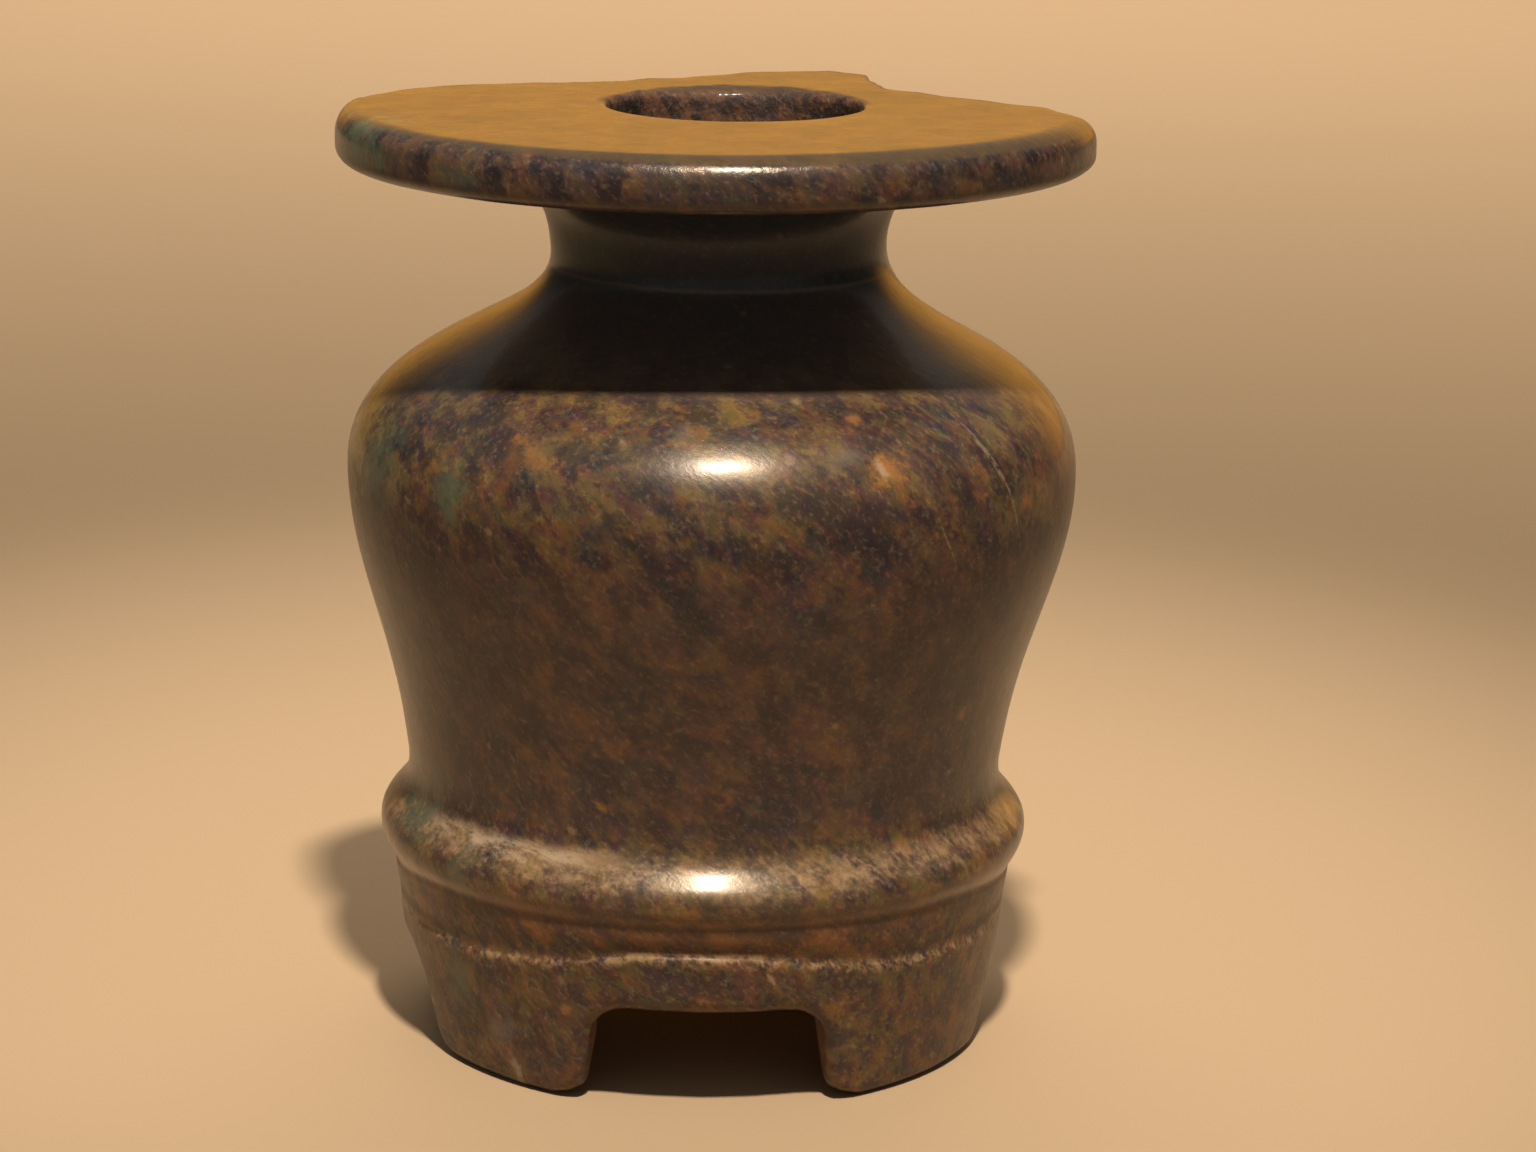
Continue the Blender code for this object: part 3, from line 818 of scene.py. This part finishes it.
# Dark mottled stone, as sums of noise and of smooth steps of the place on the pot
def mottledStone(c):
    material = bpy.data.materials.new("darkStone")
    material.use_nodes = True
    tree = material.node_tree
    shader = tree.nodes["Principled BSDF"]
    tools = Wire(tree)

    def colour(name):
        return (*c[name], 1.0)

    def share(name):
        return tools.node("ShaderNodeAttribute", {"attribute_name": name}, output=2)

    # 1 inside one of the bands of the pot, with soft ends
    def within(name):
        start, full, last, end = c[name]
        return level.fade(start, full) * level.fade(end, last)

    # Noise in the leaning grain, each at a place of its own, and patches with soft edges
    def grainy(location, size, detail, roughness):
        return grained.placed(location=location).clouds(size, detail, roughness)

    def patchy(location, size, low, high):
        return grainy(location, size, 5.0, 0.60).fade(low, high)

    raw, drilled, lipHighlight, paintedCreaseShade = (
        share(name) for name in ("rawStoneAndFill", "drilledStone", "lipHighlight", "paintedCreaseShade"))
    place = tools.node("ShaderNodeTexCoord", output=3).placed(scale=(mm, mm, mm))
    grained = place.placed(rotation=(0, c["grainTurn"], 0), scale=(1, 1, c["grainStretch"]))
    level = place.measureAlong((0, 0, 1))
    foot = level.fade(c["footLevel"] + 0.6, c["footLevel"] - 0.6)
    top = level.fade(c["topLevel"] - 0.25, c["topLevel"])
    ring = abs(level - c["ringMiddle"]).fade(3.4, 1.2)
    edge = level.fade(*c["rimEdge"]) * (1 - top)
    # golden: warm ochre and olive share, thickest on the lit shoulder and on the ring, partly painted
    # warm light and sheen
    golden = within("goldenAndSheenBand") * 0.68 + edge * 0.06
    golden = golden + ring * 0.75 + foot * 0.65 + 0.12
    patches = place.placed(location=(3, 7, 1)).clouds(3.2, 4.0, 0.60)
    grains = grainy((9, 2, 5), 1.1, 5.0, 0.62)
    fine = grainy((4, 4, 8), 0.34, 3.0, 0.65)
    # Streaks left by polishing: noise drawn out along one leaning direction
    leaning = place.placed(rotation=(0, c["grainTurn"], 0), scale=(1, 1, c["streakStretch"]))
    streaks = leaning.clouds(0.40, 3.0, 0.6)
    hairs = leaning.placed(location=(5, 1, 3)).clouds(0.16, 2.0, 0.5)

    # Lays colours over the ground in turn, each as strong as its value
    def laid(ground, layers):
        for value, name in layers:
            ground = value.mix(ground, colour(name))
        return ground

    # The ground wanders between warm and cool, ochre, rust and olive in soft patches, and
    # between plum and olive from grain to grain
    tinge = grainy((1, 5, 2), 0.9, 4.0, 0.66)
    rustTinge = grainy((8, 3, 6), 0.7, 3.0, 0.64)
    footTinge = grainy((5, 9, 1), 0.8, 4.0, 0.60)
    shade = grainy((6, 6, 1), 2.2, 5.0, 0.64) + (streaks - 0.5) * 0.20
    smallShade = grainy((2, 6, 8), 1.2, 3.0, 0.56)
    under = abs(level - c["underRingReflection"]).fade(2.4, 0.8)
    # the flank's left and right sides: darkened as painted shade, and with a thinner coat
    flank = abs(place.measureAlong((1, 0, 0))).fade(*c["flankShadeSides"]) * within("dullShadedFlank")
    ground = patchy((3, 1, 7), 3.0, 0.40, 0.58).mix(colour("cool"), colour("warm"))
    ground = laid(ground, [
        (patchy((2, 8, 4), 2.2, 0.40, 0.64) * golden, "ochre"),
        (patchy((7, 2, 9), 1.6, 0.48, 0.64) * (0.42 + golden * 0.33 - edge * 0.18), "rust"),
        (patchy((4, 9, 3), 1.8, 0.44, 0.62) * (0.05 + golden * 0.60), "olive"),
        (tinge.fade(0.50, 0.60) * (0.22 + golden * 0.35 + foot * 0.30), "olive"),
        (tinge.fade(0.50, 0.40) * (0.66 - edge * 0.32), "plum"),
        (rustTinge.fade(0.54, 0.66) * (0.30 + golden * 0.30 - edge * 0.14), "rust"),
        # rust under the ring is a painted orange reflection
        (under * 0.85 + foot * 0.16, "rust"),
        (foot * patchy((9, 4, 4), 3.4, 0.46, 0.60) * 0.55, "rust"),
        (foot * patchy((1, 7, 8), 3.0, 0.50, 0.62) * 0.45, "plum"),
        # less black on the ring, part of its painted sheen
        (shade.fade(0.42, 0.60) * (0.66 + foot * 0.08 - ring * 0.14 + edge * 0.14), "black"),
        (smallShade.fade(0.46, 0.60) * (0.25 + foot * 0.50 - edge * 0.15), "cool"),
        (foot * footTinge.fade(0.52, 0.60) * 0.55, "olive"),
        (foot * footTinge.fade(0.46, 0.38) * 0.55, "plum"),
        # painted shade on the flank's left and right sides
        (flank * 0.32, "black"),
        # slate tone on the neck and upper shoulder, partly painted cool fill light in the rim's shadow
        (within("slateAndFillNeck") * 0.80, "slateAndFill"),
        # painted fill light, lifting the shade that the rim casts on the shoulder
        (within("paintedFillShoulder") * (0.20 + grains * 0.45), "paintedFill"),
        # painted shade in the groove under the ring and the crease above the arris
        (paintedCreaseShade * (0.15 + grains * 0.45), "black"),
    ])

    # Small pale grains, most on the foot, the ring and the rim's edge, and a few larger ones
    pale = fine.fade(0.50, 0.76) * (0.19 + golden * 0.09 + foot * 0.06 + edge * 0.03)
    cells = place.node("ShaderNodeTexVoronoi", {}, {"Vector": grained, "Scale": 0.42})
    ofCell = cells.other(1)
    size = ofCell.node("ShaderNodeSeparateColor", {}, {"Color": ofCell})
    flecks = (cells + (fine - 0.5) * 0.35 - size * 0.09).fade(0.05, -0.04)

    # Painted sheen and highlights: a sheen along the ring's crest, a highlight along the foot's arris,
    # and a faint glint on a thin line where the neck meets the shoulder
    ringSheen = abs(level - c["ringSheenLevel"] + (grains - 0.5) * 2.0).fade(1.6, 0.2)
    ringSheen = ringSheen * (grains * 0.7 + fine * 0.5).fade(0.45, 0.85)
    # painted highlight along the foot's upper arris
    lipGlint = lipHighlight * (grains * 0.7 + fine * 0.7).fade(0.60, 0.85)
    neckGlint = abs(level - c["neckGlint"] + (grains - 0.5) * 0.3).fade(0.22, 0.0)
    ground = laid(ground, [
        (pale + flecks * (0.35 + edge * 0.20), "fleck"),
        (ringSheen * 0.90, "rubbed"),
        (lipGlint * 0.75, "rubbed"),
        # painted glint on the neck's arris
        (neckGlint * 0.30, "fleck"),
        (top * (0.70 + (fine - 0.5) * 0.6 + (patches - 0.5) * 0.4), "worn"),
    ])

    # Stains, spots, scratches and the limy streak, and a painted sheen beside the ring's highlight
    ragged = (grains - 0.5) * 3.0 + (fine - 0.5) * 2.4
    for name, middle, lean, halfSizes, strength in c["marks"]:
        near = place.placed(middle, lean, halfSizes).length() + ragged
        ground = (near.fade(1.3, 0.1) * strength).mix(ground, colour(name))
    scratched = 0.0
    for plane, middle, reach, width, strength in c["scratches"]:
        line = abs(place.measureAlong(plane) - float(np.dot(plane, middle)) + (patches - 0.5) * 0.3)
        along = place.distanceTo(middle).fade(reach, reach * 0.3) * fine.fade(0.35, 0.55)
        scratched = line.fade(width, 0.0) * along * strength + scratched
    smears = place.placed(rotation=(0, 10, -38), scale=(2.4, 1, 0.7)).clouds(0.9, 5.0, 0.75)
    lime = abs(level - c["limeLevel"] + (smears - 0.5) * 1.6 + (grains - 0.5) * 0.8)
    lime = lime.fade(c["limeHeight"], 0.0) * smears.fade(0.38, 0.58)
    lime = lime * place.distanceTo(c["limeMiddle"]).fade(c["limeReach"], c["limeReach"] * 0.3)
    ground = laid(ground, [
        (scratched, "fleck"),
        (lime * 0.82, "lime"),
        # raw stone on the break; in the channels it is also painted fill light
        (raw * 0.60, "rawStoneAndFill"),
        (drilled * 0.55, "warm"),
        (drilled * 0.40, "rust"),
        (drilled * 0.85 * grains.fade(0.62, 0.42), "black"),
        (drilled * 0.22 * fine.fade(0.52, 0.70), "fleck"),
    ])

    roughness = 0.17 + grains * 0.12 + fine * 0.10 + streaks * 0.06 + foot * 0.12 + paintedCreaseShade * 0.2
    roughness = roughness + raw * 0.30 + drilled * 0.40 + lime * 0.15 + flecks * 0.1
    roughness = roughness + top * (patches - 0.5) * 0.2
    relief = fine * 0.006 + grains * 0.015 + patches * 0.015 + streaks * 0.008 + hairs * 0.003
    relief = relief + place.clouds(0.11, 2.0, 0.5) * 0.0012
    relief = relief + (foot + ring * 0.3 + edge * 1.4 + top * 0.4) * (grains * 0.03 + fine * 0.014)
    relief = relief + (raw + drilled) * (grains * 0.12 + fine * 0.06)
    relief = relief - scratched * 0.015
    normal = relief.node("ShaderNodeBump", {}, {"Height": relief, "Distance": mm, "Strength": 1.0})
    coat = 0.20 - foot * 0.12 - raw * 0.2 - drilled * 0.2 - (streaks - 0.5) * 0.15 - flank * 0.10
    wires = {"Base Color": ground, "Roughness": roughness, "Normal": normal, "Coat Weight": coat}
    for name, wire in wires.items():
        tree.links.new(shader.inputs[name], wire.socket)
    for name, value in c["finish"].items():
        shader.inputs[name].default_value = value
    return material


# The finished pot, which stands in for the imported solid
def makePot():
    piece = makeBlank(potShape)
    print("pot turned:", len(piece.data.vertices), "points")
    cutChannels(piece, channels)
    print("channels cut")
    softenEdges(piece, softening)
    print("edges softened")
    markFinishes(piece, potShape, finishEdges)
    piece.data.materials.clear()
    piece.data.materials.append(mottledStone(stoneLooks))
    piece.data.shade_smooth()
    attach(piece, "root")
    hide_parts("kohl_pot")
    print("pot finished:", len(piece.data.vertices), "points")


studio = {
    "floor": (0.41, 0.288, 0.176),
    "floorReach": 4000.0,
    "keyTurn": 5.5,               # degrees to the right of straight in front
    "keyRise": 61.6,
    "keyDistance": 0.7,           # metres
    "keyRadius": 0.020,           # metres
    "keyCone": 19.0,              # degrees across
    "keyPower": 31.0,             # watts
    "keyColour": (1.0, 0.89, 0.75),
    "backPlace": (0.0, 0.70, 0.80),   # metres, as its size
    "backSize": 0.8,
    "backPower": 5.0,
    "backSpread": 95.0,
    # Light from all round: a warm wall behind, dim sides, a cool front, and the sky above,
    # each with the shares of its direction between which it begins
    "wallGlow": (1.12, 0.51, 0.095),
    "wallTowards": (0.15, 0.989, 0),
    "wallFade": (0.73, 0.94),
    "sideGlow": (0.034, 0.036, 0.036),
    "frontGlow": (0.150, 0.160, 0.168),
    "frontFade": (-0.20, -0.75),
    "sky": (0.240, 0.250, 0.245),
    "skyFade": (0.60, 0.25),
}


# A plain square floor
def makeFloor(c):
    corners = np.array([(-1, -1, 0), (1, -1, 0), (1, 1, 0), (-1, 1, 0)])
    floor = meshObject("floor", corners * c["floorReach"], [range(4)])
    finish = bpy.data.materials.new("floorFinish")
    finish.use_nodes = True
    shader = finish.node_tree.nodes["Principled BSDF"]
    shader.inputs["Base Color"].default_value = (*c["floor"], 1.0)
    shader.inputs["Roughness"].default_value = 0.9
    shader.inputs["Specular IOR Level"].default_value = 0.2
    floor.data.materials.append(finish)


# A lamp. One that is not glossy lights the pieces but is not mirrored in their polish
def addLamp(name, kind, power, place, rotation, glossy=True, **settings):
    lamp = bpy.data.lights.new(name, kind)
    lamp.energy = power
    for setting, value in settings.items():
        setattr(lamp, setting, value)
    holder = bpy.data.objects.new(name, lamp)
    holder.location = place
    holder.rotation_euler = rotation
    holder.visible_glossy = glossy
    bpy.context.scene.collection.objects.link(holder)


# One small key lamp above the front, a large soft lamp above the back, and a world that
# goes from colour to colour by smooth steps of the direction
def makeLights(c):
    turn, rise = math.radians(c["keyTurn"]), math.radians(c["keyRise"])
    outward = math.cos(rise)
    towards = np.array([math.sin(turn) * outward, -math.cos(turn) * outward, math.sin(rise)])
    middle = np.array([0, 0, potShape["height"] / 2 * mm])
    addLamp("key", "SPOT", c["keyPower"], middle + towards * c["keyDistance"],
            (math.pi / 2 - rise, 0, turn), color=c["keyColour"], shadow_soft_size=c["keyRadius"],
            spot_size=math.radians(c["keyCone"]), spot_blend=1.0)
    addLamp("back", "AREA", c["backPower"], c["backPlace"], (0, 0, 0), glossy=False,
            color=c["keyColour"], size=c["backSize"], spread=math.radians(c["backSpread"]))

    world = bpy.data.worlds.new("studio")
    world.use_nodes = True
    bpy.context.scene.world = world
    direction = Wire(world.node_tree).node("ShaderNodeTexCoord")
    low = direction.measureAlong((0, 0, 1)).fade(*c["skyFade"])
    behind = direction.measureAlong(c["wallTowards"]).fade(*c["wallFade"])
    ahead = direction.measureAlong((0, 1, 0)).fade(*c["frontFade"])
    glow = ahead.mix((*c["sideGlow"], 1.0), (*c["frontGlow"], 1.0))
    glow = behind.mix(glow, (*c["wallGlow"], 1.0))
    glow = low.mix((*c["sky"], 1.0), glow)
    background = world.node_tree.nodes["Background"]
    world.node_tree.links.new(background.inputs["Color"], glow.socket)
    print("studio lit")


view = {
    "place": (0.003886, -0.2620, 0.09484),   # metres
    "down": 13.98,                           # degrees below level
    "roll": 1.2,
    "focal": 4200.0,                         # pixels
    "pictureWidth": 1536,                    # pixels
    "sensor": 36.0,
    "clip": (0.01, 20.0),                    # metres
}


# The camera, looking level and to the back, then turned down and rolled a little
def makeCamera(c):
    data = bpy.data.cameras.new("camera")
    data.sensor_width = c["sensor"]
    data.lens = c["focal"] / c["pictureWidth"] * c["sensor"]
    data.clip_start, data.clip_end = c["clip"]
    camera = bpy.data.objects.new("camera", data)
    bpy.context.scene.collection.objects.link(camera)
    camera.matrix_world = (Matrix.Translation(c["place"])
                           @ Matrix.Rotation(math.radians(90 - c["down"]), 4, "X")
                           @ Matrix.Rotation(math.radians(c["roll"]), 4, "Z"))
    bpy.context.scene.camera = camera
    bpy.context.scene.view_settings.view_transform = "Standard"


makeCamera(view)
makeFloor(studio)
makeLights(studio)
makePot()
